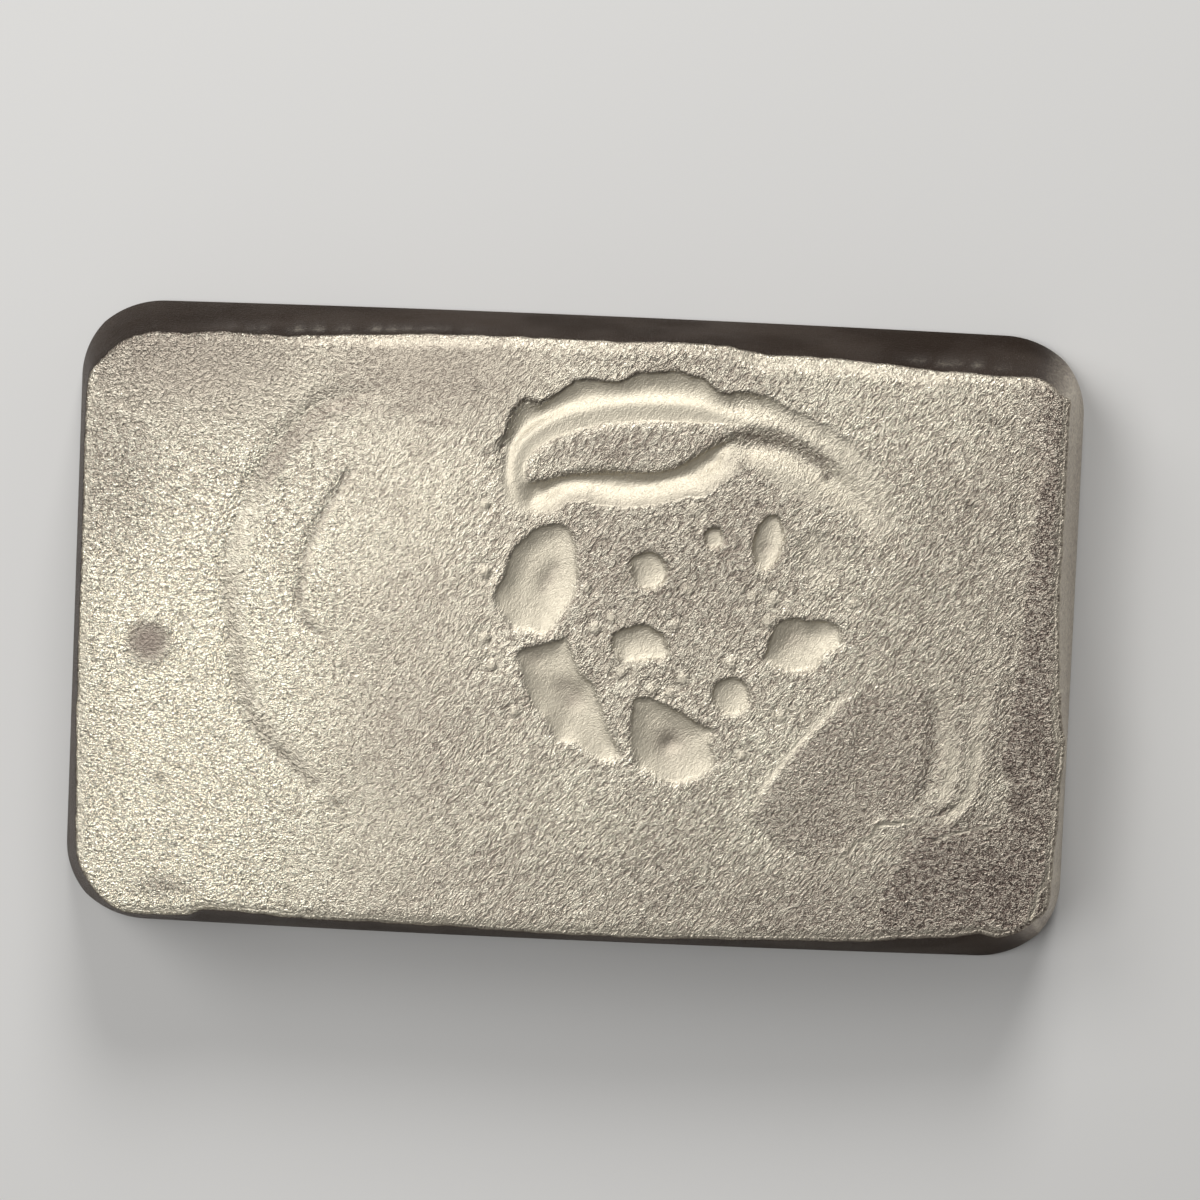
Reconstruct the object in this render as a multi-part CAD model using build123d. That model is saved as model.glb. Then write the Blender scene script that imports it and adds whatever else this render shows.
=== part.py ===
from build123d import *
import os
from math import cos, hypot, radians, sin, tan

# Sizes of the ingot in millimetres. It lies on its larger face, the one that was open to the
# air when the metal was poured. The smaller face that shows is the one the mould's floor made.
ingot_length = 100.0
ingot_width = 62.8
ingot_thickness = 16.0
wall_draft = 11.4  # degrees from upright, so that the casting drops out of its mould
corner_radius = 8.4  # of the four upright corners, at the larger face
long_side_bow = 0.4  # how far the two long sides swell out at their middle
rim_radius = 1.6  # round rim that the metal's skin left around the open face
mould_edge_radius = 0.45  # edge around the mould-floor face

# The air pocket near the far edge, where trapped air kept the metal off the mould's floor.
# Inside it an island reached the mould's floor, and a rounded ridge runs round the island.
pocket_x = 5.0
pocket_from_far_edge = 10.2
pocket_depth = 0.85
pocket_wall_run = 0.5  # how far the pocket's wall comes in between its mouth and its floor
island_wall_run = 0.5
ridge_foot_half_width = 1.35
ridge_top_half_width = 0.4
ridge_below_face = 0.22

# The blowholes: small basins that gas bubbles left in the mould-floor face.
blowhole_depth = 0.75
small_blowhole_depth = 0.5
blowhole_wall_run = 0.35  # from the mouth in to the steep part's foot
blowhole_floor_run = 0.85  # from the mouth in to the flat floor
steep_share = 0.7  # of the depth that the steep part takes
mouth_lip = 0.25  # how far each cutting shape stands out of the face

# The laps: shallow creases where one flow of metal froze before the next one reached it.
lap_half_width = 0.8
lap_floor_half_width = 0.15
lap_depth = 0.18
left_laps_from_end = 14.1  # from the left end of the face to the outer lap's middle
right_laps_from_end = 29.2  # from the right end of the face to the fold's near tip

# Worked out from the sizes above.
rim_overhang = rim_radius * (1 / tan(radians(90 - wall_draft) / 2) - 1)
wall_run = ingot_thickness * tan(radians(wall_draft))
mould_half_x = ingot_length / 2 + rim_overhang - wall_run
mould_half_y = ingot_width / 2 + rim_overhang - wall_run
face_z = ingot_thickness


def cast_block():
    """The plain casting: a plan with swelling long sides, drawn in towards the mould's floor."""
    end_x = ingot_length / 2 + rim_overhang
    side_y = ingot_width / 2 + rim_overhang - long_side_bow
    near_side = ThreePointArc((-end_x, -side_y), (0, -side_y - long_side_bow), (end_x, -side_y))
    right_end = Line((end_x, -side_y), (end_x, side_y))
    far_side = ThreePointArc((end_x, side_y), (0, side_y + long_side_bow), (-end_x, side_y))
    left_end = Line((-end_x, side_y), (-end_x, -side_y))
    plan = make_face([near_side, right_end, far_side, left_end])
    plan = fillet(plan.vertices(), corner_radius)
    block = extrude(plan, amount=ingot_thickness, taper=wall_draft)
    block = fillet(block.faces().sort_by(Axis.Z)[0].edges(), rim_radius)
    return fillet(block.faces().sort_by(Axis.Z)[-1].edges(), mould_edge_radius)


def moved_in(outline, run):
    """A closed outline, listed anticlockwise, with each of its points moved in by the run."""
    moved = []
    for i, (x, y) in enumerate(outline):
        before_x, before_y = outline[i - 1]
        after_x, after_y = outline[(i + 1) % len(outline)]
        along_x, along_y = after_x - before_x, after_y - before_y
        size = hypot(along_x, along_y)
        moved.append((x - run * along_y / size, y + run * along_x / size))
    return moved


def ring(outline, z):
    """A flat face inside a smooth closed line through the outline's points."""
    return make_face(Spline([(x, y, z) for x, y in outline], periodic=True))


def hollow(outline, depth):
    """The shape that cuts a basin: steep under its mouth, then sloping to a flat floor."""
    steep_depth = depth * steep_share
    return loft([
        ring(moved_in(outline, blowhole_floor_run), face_z - depth),
        ring(moved_in(outline, blowhole_wall_run), face_z - steep_depth),
        ring(moved_in(outline, -blowhole_wall_run * mouth_lip / steep_depth), face_z + mouth_lip),
    ], ruled=True)


def oval(x, y, half_long, half_wide, turn):
    """Eight points of an oval round a place on the face, anticlockwise."""
    points = []
    for i in range(8):
        along = half_long * cos(radians(45 * i))
        across = half_wide * sin(radians(45 * i))
        turned_x = along * cos(radians(turn)) - across * sin(radians(turn))
        turned_y = along * sin(radians(turn)) + across * cos(radians(turn))
        points.append((x + turned_x, y + turned_y))
    return points


def strip(line, half_width, z):
    """A flat face along a smooth open line: as wide on both of its sides, with straight ends."""
    right_side, left_side = [], []
    for i, (x, y) in enumerate(line):
        before_x, before_y = line[max(i - 1, 0)]
        after_x, after_y = line[min(i + 1, len(line) - 1)]
        along_x, along_y = after_x - before_x, after_y - before_y
        size = hypot(along_x, along_y)
        across_x, across_y = half_width * along_y / size, -half_width * along_x / size
        right_side.append((x + across_x, y + across_y, z))
        left_side.append((x - across_x, y - across_y, z))
    return make_face([
        Spline(right_side),
        Line(right_side[-1], left_side[-1]),
        Spline(left_side[::-1]),
        Line(left_side[0], right_side[0]),
    ])


def air_pocket():
    """The pocket with its island and its ridge, as one shape to cut away."""
    pocket_y = mould_half_y - pocket_from_far_edge

    def placed(points):
        return [(pocket_x + x, pocket_y + y) for x, y in points]

    mouth = placed([
        (-12.3, -3.6), (-10.8, -6.4), (-8.2, -6.8), (-5.6, -5.5), (-0.6, -5.6), (4.4, -4.8),
        (8.4, -3.5), (10.6, -0.1), (12.6, -1.6), (14.9, -3.4), (18.6, -3.3), (21.8, -5.3),
        (25.4, -6.9), (25.6, -4.0), (22.6, 0.4), (18.8, 3.1), (13.4, 5.5), (10.2, 5.8),
        (8.4, 5.8), (6.6, 7.1), (3.8, 7.6), (-1.8, 6.5), (-4.6, 6.4), (-7.3, 4.8),
        (-9.8, 4.3), (-11.5, 2.6),
    ])
    island = placed([
        (-9.4, -2.2), (-7.9, -3.3), (-4.6, -2.6), (3.0, -2.0), (6.8, -0.8), (9.3, 1.1),
        (9.3, 2.1), (6.7, 2.4), (1.9, 2.2), (-1.9, 1.6), (-5.4, 0.6), (-8.4, -0.6),
    ])
    ridge = placed([
        (-10.6, -4.6), (-10.6, -2.2), (-9.3, 0.3), (-6.9, 2.1), (-3.6, 3.3), (0.6, 4.0),
        (4.6, 4.1), (9.0, 3.4), (13.2, 2.7), (16.6, 1.8), (19.3, 0.2), (21.9, -2.0), (24.0, -4.5),
    ])
    pocket = loft([
        ring(moved_in(mouth, pocket_wall_run), face_z - pocket_depth),
        ring(moved_in(mouth, -pocket_wall_run * mouth_lip / pocket_depth), face_z + mouth_lip),
    ])
    stand = loft([
        ring(moved_in(island, -island_wall_run), face_z - pocket_depth - mouth_lip),
        ring(island, face_z),
        ring(island, face_z + 2 * mouth_lip),
    ], ruled=True)
    crest = loft([
        strip(ridge, ridge_foot_half_width, face_z - pocket_depth - mouth_lip),
        strip(ridge, ridge_top_half_width, face_z - ridge_below_face),
    ], ruled=True)
    return pocket - stand - crest


def blowholes():
    """The nine larger blowholes, each placed from the middle of the face."""
    big_left = [
        (-7.1, 3.6), (-6.2, 1.4), (-3.8, 0.1), (-1.2, 1.1), (0.8, 4.8), (0.6, 8.4), (-0.9, 10.6),
        (-3.3, 10.5), (-5.8, 7.9),
    ]
    long_left = [
        (-4.9, -2.0), (-4.3, -4.6), (-2.7, -7.4), (-1.0, -10.0), (1.4, -10.6), (3.6, -11.7),
        (5.5, -11.2), (4.0, -7.6), (2.0, -3.8), (-0.2, 0.0), (-2.9, -0.8),
    ]
    low_middle = [
        (6.3, -6.0), (6.2, -10.2), (7.6, -12.6), (10.6, -13.8), (13.7, -12.6), (14.6, -10.8),
        (14.0, -8.2), (9.8, -6.0),
    ]
    small_middle = [
        (4.0, -0.8), (5.1, -2.2), (7.6, -2.0), (9.7, -1.2), (9.2, 0.6), (7.0, 1.6), (4.6, 0.9),
    ]
    right_middle = [
        (18.7, -1.4), (21.0, -2.6), (23.7, -2.1), (25.2, -0.4), (26.2, 1.2), (24.6, 2.7),
        (21.6, 2.9), (19.5, 1.6),
    ]
    return [
        hollow(big_left, blowhole_depth),
        hollow(long_left, blowhole_depth),
        hollow(low_middle, blowhole_depth),
        hollow(small_middle, blowhole_depth),
        hollow(right_middle, blowhole_depth),
        hollow(oval(7.4, 6.7, 2.0, 1.9, 0), blowhole_depth),
        hollow(oval(13.5, 10.1, 1.2, 1.1, 0), small_blowhole_depth),
        hollow(oval(18.7, 9.9, 2.8, 1.6, 78), blowhole_depth),
        hollow(oval(15.8, -5.0, 1.9, 2.1, 0), small_blowhole_depth),
    ]


def laps():
    """The creases of the cold laps: two arcs at the left end and a fold at the lower right."""
    left_x = -mould_half_x + left_laps_from_end
    right_x = mould_half_x - right_laps_from_end
    outer_arc = [
        (13.7, 23.0), (5.6, 18.9), (1.1, 11.2), (0.0, 2.9), (1.1, -6.6), (5.4, -13.3), (11.1, -16.9),
    ]
    inner_arc = [(12.5, 17.5), (8.0, 10.2), (6.9, 4.0), (9.4, -1.4)]
    fold = [(0.0, -16.9), (1.4, -13.1), (3.7, -9.9), (6.3, -6.9), (9.2, -4.1), (12.0, -3.2)]
    fold_end = [(14.6, -3.4), (17.3, -5.1), (17.3, -8.2), (16.9, -12.0), (16.2, -15.2)]
    fold_foot = [(7.2, -20.2), (9.4, -19.3), (11.4, -17.9), (13.3, -16.3), (16.2, -16.0)]
    creases = [[(left_x + x, y) for x, y in line] for line in (outer_arc, inner_arc)]
    creases += [[(right_x + x, y) for x, y in line] for line in (fold, fold_end, fold_foot)]
    return [
        loft([
            strip(line, lap_floor_half_width, face_z - lap_depth),
            strip(line, 2 * lap_half_width - lap_floor_half_width, face_z + lap_depth),
        ], ruled=True)
        for line in creases
    ]


ingot = cast_block()
ingot = ingot - [air_pocket(), *blowholes(), *laps()]

os.makedirs("parts", exist_ok=True)
export_step(ingot, "parts/ingot.step")
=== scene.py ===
from math import cos, pi, radians, sin

import bmesh
import bpy
import numpy as np
from mathutils import Matrix, Vector, noise


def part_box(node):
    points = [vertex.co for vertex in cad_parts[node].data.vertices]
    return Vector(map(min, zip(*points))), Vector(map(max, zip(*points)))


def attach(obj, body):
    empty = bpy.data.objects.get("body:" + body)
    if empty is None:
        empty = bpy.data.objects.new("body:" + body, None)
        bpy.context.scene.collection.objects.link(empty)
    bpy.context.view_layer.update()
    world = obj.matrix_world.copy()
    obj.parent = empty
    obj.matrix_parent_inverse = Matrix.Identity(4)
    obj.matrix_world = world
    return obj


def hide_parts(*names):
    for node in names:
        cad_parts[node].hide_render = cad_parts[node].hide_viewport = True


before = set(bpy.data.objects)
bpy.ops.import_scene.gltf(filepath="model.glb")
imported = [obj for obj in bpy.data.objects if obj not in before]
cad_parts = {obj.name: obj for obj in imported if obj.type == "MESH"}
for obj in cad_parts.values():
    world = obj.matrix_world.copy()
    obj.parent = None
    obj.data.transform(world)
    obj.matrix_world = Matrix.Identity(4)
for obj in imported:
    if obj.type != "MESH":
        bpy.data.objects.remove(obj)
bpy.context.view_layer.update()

# The mould-floor face. The smaller, upper face of the ingot, where the white metal lay on the
# floor of its mould. It is a fine grid of facets here, drawn to the face's own uneven outline,
# and each cast mark below changes its heights. All lengths are in millimetres.
MM = 0.001
half_length, half_width, thickness = (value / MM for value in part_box("ingot")[1])
face_level = thickness - 0.14  # leaves room above it for what stands up from the face
highest_level = thickness - 0.01
face_half_x, face_half_y = 46.6, 27.9
edge_radius = 0.5
edge_inset = 0.45
bend_run = 4.0  # from the plain edge in to where the grid no longer bends
raggedness = 0.12
broad_unevenness, small_unevenness = 0.05, 0.018

# Where the face's edge really runs: (x, y) along the long sides and (y, x) along the ends.
far_edge = [(-46, 27.7), (-38, 27.6), (-34, 27.9), (-28, 27.7), (-22, 28.1), (-14, 28.5),
            (-6, 28.6), (4, 28.5), (10, 28.7), (14, 28.5), (17.5, 27.9), (24, 27.8), (30, 27.4),
            (34, 27.0), (38, 26.9), (46, 26.6)]
near_edge = [(-46, -28.4), (-35.7, -28.4), (-34.2, -27.7), (-30, -27.8), (-26, -28.15),
             (-10, -28.3), (0, -28.6), (10, -28.6), (20, -28.3), (30, -28.0), (34, -27.5),
             (38, -27.25), (40.4, -26.75), (42.5, -27.1), (46, -27.2)]
left_edge = [(-27, -46.6), (-20, -46.7), (-10, -47.0), (10, -47.05), (27, -47.1)]
right_edge = [(-27, 47.0), (-20, 47.3), (-12, 47.7), (-8, 47.9), (-5.8, 47.5), (-2.3, 47.1),
              (4.6, 46.7), (27, 46.8)]
far_left, far_right, near_left, near_right = 6.8, 3.6, 6.5, 5.0  # radii of the face's corners

# Where the grid's lines are close: (share of the lines, place) from one end to the other.
columns, rows = 318, 218
column_stops = [(0.0, -face_half_x), (0.25, -8.5), (0.93, 37.0), (1.0, face_half_x)]
row_stops = [(0.0, -face_half_y), (0.115, -17.5), (0.965, 26.2), (1.0, face_half_y)]
column_places = np.interp(np.linspace(0.0, 1.0, columns + 1), *zip(*column_stops))
row_places = np.interp(np.linspace(0.0, 1.0, rows + 1), *zip(*row_stops))
plain = np.stack(np.meshgrid(column_places, row_places), axis=-1)


def smooth_step(value, start, end):
    """0 before start, 1 after end, and a smooth rise between them."""
    share = np.clip((value - start) / (end - start), 0.0, 1.0)
    return share * share * (3.0 - 2.0 * share)


def hump(distance, reach):
    """1 on a mark's middle, falling off smoothly as the distance grows past the reach."""
    return np.exp(-(distance / reach) ** 2)


def lumps(places, size, seed):
    """Smooth noise from about -1 to 1, in lumps of the given size, at each place."""
    flat = places.reshape(-1, 2) / size
    return np.array([noise.noise((x, y, seed)) for x, y in flat]).reshape(places.shape[:-1])


def along_edge(edge, places):
    """The edge's own place across, at each place along it."""
    return np.interp(places, *zip(*edge))


def away_from(places, x, y, reach_x=1.0, reach_y=1.0):
    """How far each place is from the point x, y, counted in reaches."""
    return np.hypot((places[..., 0] - x) / reach_x, (places[..., 1] - y) / reach_y)


def cover(mask, values, patch=...):
    """Brings a mask up to these values, on the whole grid or on a patch of it."""
    mask[patch] = np.maximum(mask[patch], values)


def rounded_corners(places, half_x, half_y, corner):
    """Moves the places of a square-cornered plan to one with round corners."""
    past_x = np.clip((np.abs(places[..., 0]) - half_x) / corner + 1.0, 0.0, 1.0)
    past_y = np.clip((np.abs(places[..., 1]) - half_y) / corner + 1.0, 0.0, 1.0)
    moved = places.copy()
    moved[..., 0] += np.sign(places[..., 0]) * corner * past_x * (np.sqrt(1.0 - past_y ** 2 / 2.0) - 1.0)
    moved[..., 1] += np.sign(places[..., 1]) * corner * past_y * (np.sqrt(1.0 - past_x ** 2 / 2.0) - 1.0)
    return moved


corners = np.where(plain[..., 1] > 0.0, np.where(plain[..., 0] > 0.0, far_right, far_left),
                   np.where(plain[..., 0] > 0.0, near_right, near_left))
at = rounded_corners(plain, face_half_x, face_half_y, corners)
for axis, sign, edge in [(1, 1, far_edge), (1, -1, near_edge), (0, 1, right_edge), (0, -1, left_edge)]:
    half = (face_half_x, face_half_y)[axis]
    shift = along_edge(edge, plain[..., 1 - axis]) - sign * (edge_inset + half)
    at[..., axis] += smooth_step(sign * plain[..., axis], half - bend_run, half) * shift
x, y = plain[..., 0], plain[..., 1]
past_edge = np.maximum(np.abs(x) - face_half_x, np.abs(y) - face_half_y)
ragged = raggedness * smooth_step(past_edge, -1.5, 0.0)
at[..., 0] += ragged * lumps(at, 1.6, 11.0)
at[..., 1] += ragged * lumps(at, 1.6, 12.0)

height = face_level + broad_unevenness * lumps(at, 9.0, 1.0) + small_unevenness * lumps(at, 2.2, 2.0)

# How smooth the skin is at each place of the grid, how dark with dirt and painted shade, and how
# dulled by oxide and painted shade, from 0 to 1.
smooth_skin = np.zeros(height.shape)
dirt_and_shade = np.zeros(height.shape)
tarnish_and_shade = np.zeros(height.shape)

# The rolled edge. The edge of the face is as cast: a small roll all round, and a broad one
# along parts of the far side, where the metal did not fill the mould's corner. That broad roll
# catches the light.
small_roll_width, small_roll_drop, small_roll_smoothness = 0.6, 0.10, 0.55
far_roll_smoothness = 0.42
far_roll_widths = [(-48, 0.5), (-21, 0.6), (-20, 0.9), (-11, 0.9), (-8, 0.7), (14, 0.7),
                   (16.6, 1.4), (33, 1.2), (35.5, 0.6), (48, 0.5)]
far_roll_drops = [(-48, 0.10), (-21, 0.12), (-20, 0.34), (-11, 0.34), (-8, 0.28), (14, 0.24),
                  (16.6, 0.62), (33, 0.50), (35.5, 0.20), (48, 0.14)]

gap = along_edge(far_edge, x) - edge_inset - at[..., 1]
roll = np.clip(1.0 - gap / along_edge(far_roll_widths, x), 0.0, 1.0)
drop = along_edge(far_roll_drops, x)
height -= drop * roll ** 1.3
cover(smooth_skin, far_roll_smoothness * smooth_step(roll, 0.1, 0.5) * smooth_step(drop, 0.2, 0.35))
near_gap = at[..., 1] - along_edge(near_edge, x) - edge_inset
left_gap = at[..., 0] - along_edge(left_edge, y) - edge_inset
right_gap = along_edge(right_edge, y) - edge_inset - at[..., 0]
for gap in (near_gap, left_gap, right_gap):
    height -= small_roll_drop * np.clip(1.0 - gap / small_roll_width, 0.0, 1.0) ** 1.5
    cover(smooth_skin, small_roll_smoothness * (1.0 - smooth_step(gap, 0.1, small_roll_width)))

# The cold laps. Soft creases in the face, where one flow of metal froze against the mould
# before the next one reached it. They are as cast: a thin shallow valley, with a band of
# smoother skin on the side of the later flow.
curve_steps = 6
crease_unevenness = 0.35


def smooth_line(points, closed=False):
    """A smooth line through the points, as places a short step apart."""
    points = np.array(points, float)
    if closed:
        knots = np.vstack([points[-1:], points, points[:2]])
    else:
        knots = np.vstack([2 * points[:1] - points[1:2], points, 2 * points[-1:] - points[-2:-1]])
    line = []
    for a, b, c, d in zip(knots, knots[1:], knots[2:], knots[3:]):
        for step in range(curve_steps):
            t = step / curve_steps
            line.append(0.5 * (2 * b + (c - a) * t + (2 * a - 5 * b + 4 * c - d) * t ** 2
                               + (3 * b - a - 3 * c + d) * t ** 3))
    line.append(points[0] if closed else points[-1])
    return np.array(line)


def patch_round(line, margin):
    """The part of the grid that holds a line, with a margin round it."""
    first_row = np.searchsorted(row_places, line[:, 1].min() - margin)
    last_row = np.searchsorted(row_places, line[:, 1].max() + margin)
    first = np.searchsorted(column_places, line[:, 0].min() - margin)
    last = np.searchsorted(column_places, line[:, 0].max() + margin)
    return slice(first_row, last_row), slice(first, last)


def near_line(places, line):
    """For each place: its distance from the line, minus on the line's right, and the share of
    the line walked to its nearest point."""
    steps = line[1:] - line[:-1]
    lengths = np.hypot(steps[:, 0], steps[:, 1])
    walked = np.concatenate([[0.0], np.cumsum(lengths)])
    nearest = np.full(places.shape[:-1], np.inf)
    side = np.ones(nearest.shape)
    share = np.zeros(nearest.shape)
    for start, step, length, before in zip(line, steps, lengths, walked):
        gap = places - start
        along = np.clip(gap @ step / length ** 2, 0.0, 1.0)
        rest = gap - along[..., None] * step
        distance = np.hypot(rest[..., 0], rest[..., 1])
        closer = distance < nearest
        nearest = np.where(closer, distance, nearest)
        on_left = step[0] * gap[..., 1] >= step[1] * gap[..., 0]
        side = np.where(closer, np.where(on_left, 1.0, -1.0), side)
        share = np.where(closer, (before + along * length) / walked[-1], share)
    return nearest * side, share


def faded(share, fade):
    """1 along the middle of a line, dying away over this share of it at each end."""
    return smooth_step(share, 0.0, fade) * (1.0 - smooth_step(share, 1.0 - fade, 1.0))


def crease(points, depth, reach, valley_shade=0.0, smooth=0.0, band=1.0, rise=0.0, fade=0.2, dull=0.0):
    """Presses a valley along a line, or a ridge where the depth is minus, with a smooth, dull
    or slightly raised band on its left, and paints shade along the valley. All die away over the
    fade at each end."""
    line = smooth_line(points)
    patch = patch_round(line, 2.0 * reach + 2.5 * band)
    distance, share = near_line(at[patch], line)
    strength = faded(share, fade) * (1.0 + crease_unevenness * lumps(at[patch], 1.7, 5.0))
    height[patch] += strength * (rise * hump(distance - band, 0.8 * band) - depth * hump(distance, reach))
    beside = smooth_step(distance, -0.3, 0.2) * (1.0 - smooth_step(distance, band, 1.8 * band))
    cover(smooth_skin, smooth * strength * beside, patch)
    cover(tarnish_and_shade, dull * strength * beside, patch)
    # Painted shade along the valley.
    cover(dirt_and_shade, valley_shade * strength * hump(distance, 0.6 * reach), patch)


outer_lap = [(-18.9, 23.0), (-21.5, 22.4), (-24.2, 21.6), (-26.2, 19.9), (-28.3, 17.6), (-30.3, 14.7),
             (-31.5, 12.0), (-32.4, 9.4), (-32.9, 7.4), (-33.2, 2.9), (-32.6, -1.1), (-31.5, -6.6),
             (-30.0, -9.8), (-27.4, -12.4), (-25.1, -14.5), (-22.1, -16.7)]
far_part = [(-17.0, 23.4), *outer_lap[1:6], (-31.8, 11.0)]
near_part = outer_lap[8:]
inner_lap = [(-20.4, 16.6), (-22.1, 14.0), (-24.1, 10.6), (-25.5, 7.1), (-26.0, 3.0), (-25.4, 0.9),
             (-24.3, -0.4), (-22.1, -1.6)]
small_lap = [(-37.7, 1.8), (-36.9, 0.1), (-36.4, -1.8), (-36.1, -3.5), (-35.9, -5.4), (-35.9, -7.0)]
crease(outer_lap, depth=0.17, reach=0.9, valley_shade=0.1, smooth=0.4, band=1.5, rise=0.02, fade=0.1)
crease(far_part, depth=0.03, reach=0.5, valley_shade=0.15, smooth=0.5, band=1.2, dull=0.6, fade=0.25)
crease(near_part, depth=0.06, reach=0.4, valley_shade=0.22, dull=0.25, fade=0.15)
crease(inner_lap, depth=0.18, reach=0.42, valley_shade=0.42, smooth=0.3, band=0.5, rise=0.01, dull=0.2, fade=0.13)
crease(small_lap, depth=0.05, reach=0.25, valley_shade=0.25, smooth=0.2, band=0.4)

# The fold at the lower right. A flow that ran over metal already frozen. It left a low step up
# to a rough patch, and soft waves between that patch and the end of the ingot. It is part of
# the same skin.
step_rise, step_reach, step_smoothness = 0.26, 4.0, 0.9
fold_step = [(17.9, -16.9), (18.3, -15.5), (19.4, -13.0), (20.4, -11.6), (21.6, -10.0), (22.7, -8.6),
             (24.1, -7.1), (25.5, -5.5), (26.9, -4.2), (28.4, -3.4)]
fold_side = [(34.2, -3.0), (35.0, -5.0), (35.3, -7.0), (35.2, -9.5), (34.9, -11.8), (34.3, -13.6),
             (33.4, -15.2)]
fold_foot = [(34.4, -15.8), (32.2, -16.2), (30.9, -16.3), (30.0, -16.8), (29.5, -17.9), (28.3, -18.2),
             (27.7, -19.0), (26.9, -19.8), (25.1, -20.2)]
fold_tip = [(18.2, -15.6), (18.8, -17.2), (20.6, -18.8), (23.1, -19.8), (25.5, -19.7)]
first_wave = [(35.7, 0.5), (36.6, -3.0), (37.2, -6.0), (37.6, -9.0), (37.6, -11.4), (37.3, -13.0),
              (36.4, -14.6), (35.2, -15.8)]
second_wave = [(41.0, 2.0), (40.6, -2.6), (40.3, -6.0), (39.9, -9.6), (39.7, -11.4), (39.3, -13.2),
               (38.5, -14.8), (37.2, -16.2), (35.6, -17.2)]
wave_hollow = [(35.5, -15.8), (36.5, -15.1), (37.6, -14.4)]
rough_border = [(42.9, 0.0), (42.7, -6.0), (42.4, -7.7), (41.6, -10.4), (42.1, -11.4), (42.9, -12.8),
                (43.0, -14.7), (42.4, -15.7), (39.2, -16.4), (37.0, -17.0), (35.0, -18.2)]
rough_top = [(42.6, -15.9), (39.6, -16.5), (37.0, -17.2), (35.0, -18.2)]
end_line = [(46.1, 5.0), (46.7, -0.9), (46.4, -3.8), (46.5, -5.8), (47.2, -9.4), (47.3, -13.0),
            (47.1, -16.7), (46.9, -18.5), (46.6, -20.8), (45.6, -22.9), (45.3, -24.6), (44.3, -25.8),
            (42.4, -26.3)]

line = smooth_line(fold_step)
patch = patch_round(line, 6.0)
distance, share = near_line(at[patch], line)
strength = faded(share, 0.25)
raised = (1.0 - smooth_step(distance, -0.35, 0.2)) * hump(np.minimum(distance, 0.0), step_reach)
height[patch] += step_rise * strength * raised
cover(smooth_skin, step_smoothness * strength * hump(distance + 0.1, 0.3), patch)
crease(fold_tip, depth=0.07, reach=0.5, fade=0.3)
crease(fold_side, depth=0.15, reach=0.9, valley_shade=0.3)
crease(fold_foot, depth=-0.11, reach=0.28, smooth=0.8, band=0.3, fade=0.08)
crease(first_wave[::-1], depth=-0.22, reach=1.2, smooth=0.5, band=1.4, fade=0.5)
crease(second_wave[::-1], depth=-0.20, reach=1.0, smooth=0.6, band=1.2, fade=0.45)
crease(first_wave[:1:-1], depth=-0.14, reach=0.6, smooth=0.8, band=0.8, fade=0.3)
crease(second_wave[:1:-1], depth=-0.15, reach=0.5, smooth=0.85, band=0.7, fade=0.22)
crease(rough_top, depth=-0.08, reach=0.25, smooth=0.7, band=0.25, fade=0.15)
crease(wave_hollow, depth=0.12, reach=0.4, valley_shade=0.5)
crease(rough_border, depth=0.06, reach=0.5)
crease(end_line, depth=-0.13, reach=0.25, smooth=0.8, band=0.3, fade=0.1)

# Small creases and ridges beside the fold, and the faint arcs at the far right.
crease([(32.3, -11.9), (32.0, -10.6), (32.8, -9.0), (34.0, -8.5), (34.3, -10.2)], depth=-0.07, reach=0.25,
       smooth=0.5, band=0.2)
crease([(28.4, -0.1), (29.7, -0.8), (30.2, -2.1)], depth=-0.06, reach=0.3, smooth=0.4, band=0.3)
crease([(28.8, -3.4), (30.0, -3.8), (31.7, -3.8), (33.2, -3.0)], depth=-0.06, reach=0.25, smooth=0.4,
       band=0.2)
crease([(36.3, 4.6), (38.2, 1.9), (39.8, -0.9), (40.5, -2.9)], depth=-0.06, reach=0.7, smooth=0.3)
crease([(42.6, -4.7), (45.2, -5.0)], depth=-0.05, reach=0.2)
crease([(36.8, 23.3), (41.5, 20.6), (43.1, 18.5), (42.9, 16.4), (42.1, 11.6), (39.6, 6.7)], depth=0.10,
       reach=0.9)
crease([(37.6, 23.2), (39.3, 22.3), (41.0, 21.4)], depth=0.06, reach=0.25, valley_shade=0.5)
crease([(32.4, 15.9), (34.6, 11.3), (35.5, 8.0)], depth=0.10, reach=0.8)

# The blowholes. Small basins left by bubbles of gas between the metal and the mould's floor.
# Their skin is smooth, because it froze against gas and not against the mould. Each has a
# steep wall on its far side and a long slope on its near one, as the metal flowed. Shadow is
# painted as a dark line under each far rim.
pit_depth = 0.46
far_run, near_run = 1.5, 2.6
flow = Vector((0.34, -0.94))
mouth_lip = 0.02
painted_rim_shadow = 0.42
bead_height, bead_moat_depth, bead_smoothness = 0.18, 0.085, 0.95


def inside_line(places, line):
    """True for each place inside a closed line."""
    inside = np.zeros(places.shape[:-1], bool)
    x, y = places[..., 0], places[..., 1]
    for (x0, y0), (x1, y1) in zip(line[:-1], line[1:]):
        rise = y1 - y0 if y1 != y0 else 1.0
        inside ^= ((y0 > y) != (y1 > y)) & (x < x0 + (y - y0) * (x1 - x0) / rise)
    return inside


def depth_inside(patch, line):
    """How far inside a closed line each place of a patch is, minus if it is outside."""
    distance = np.abs(near_line(at[patch], line)[0])
    return np.where(inside_line(at[patch], line), distance, -distance)


def blurred(values, rounds):
    """A patch of the grid's values, each one averaged with its neighbours some rounds."""
    for _ in range(rounds):
        around = np.pad(values, 1, mode="edge")
        values = (around[:-2, 1:-1] + around[2:, 1:-1] + around[1:-1, :-2] + around[1:-1, 2:]
                  + 4.0 * values) / 8.0
    return values


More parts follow.
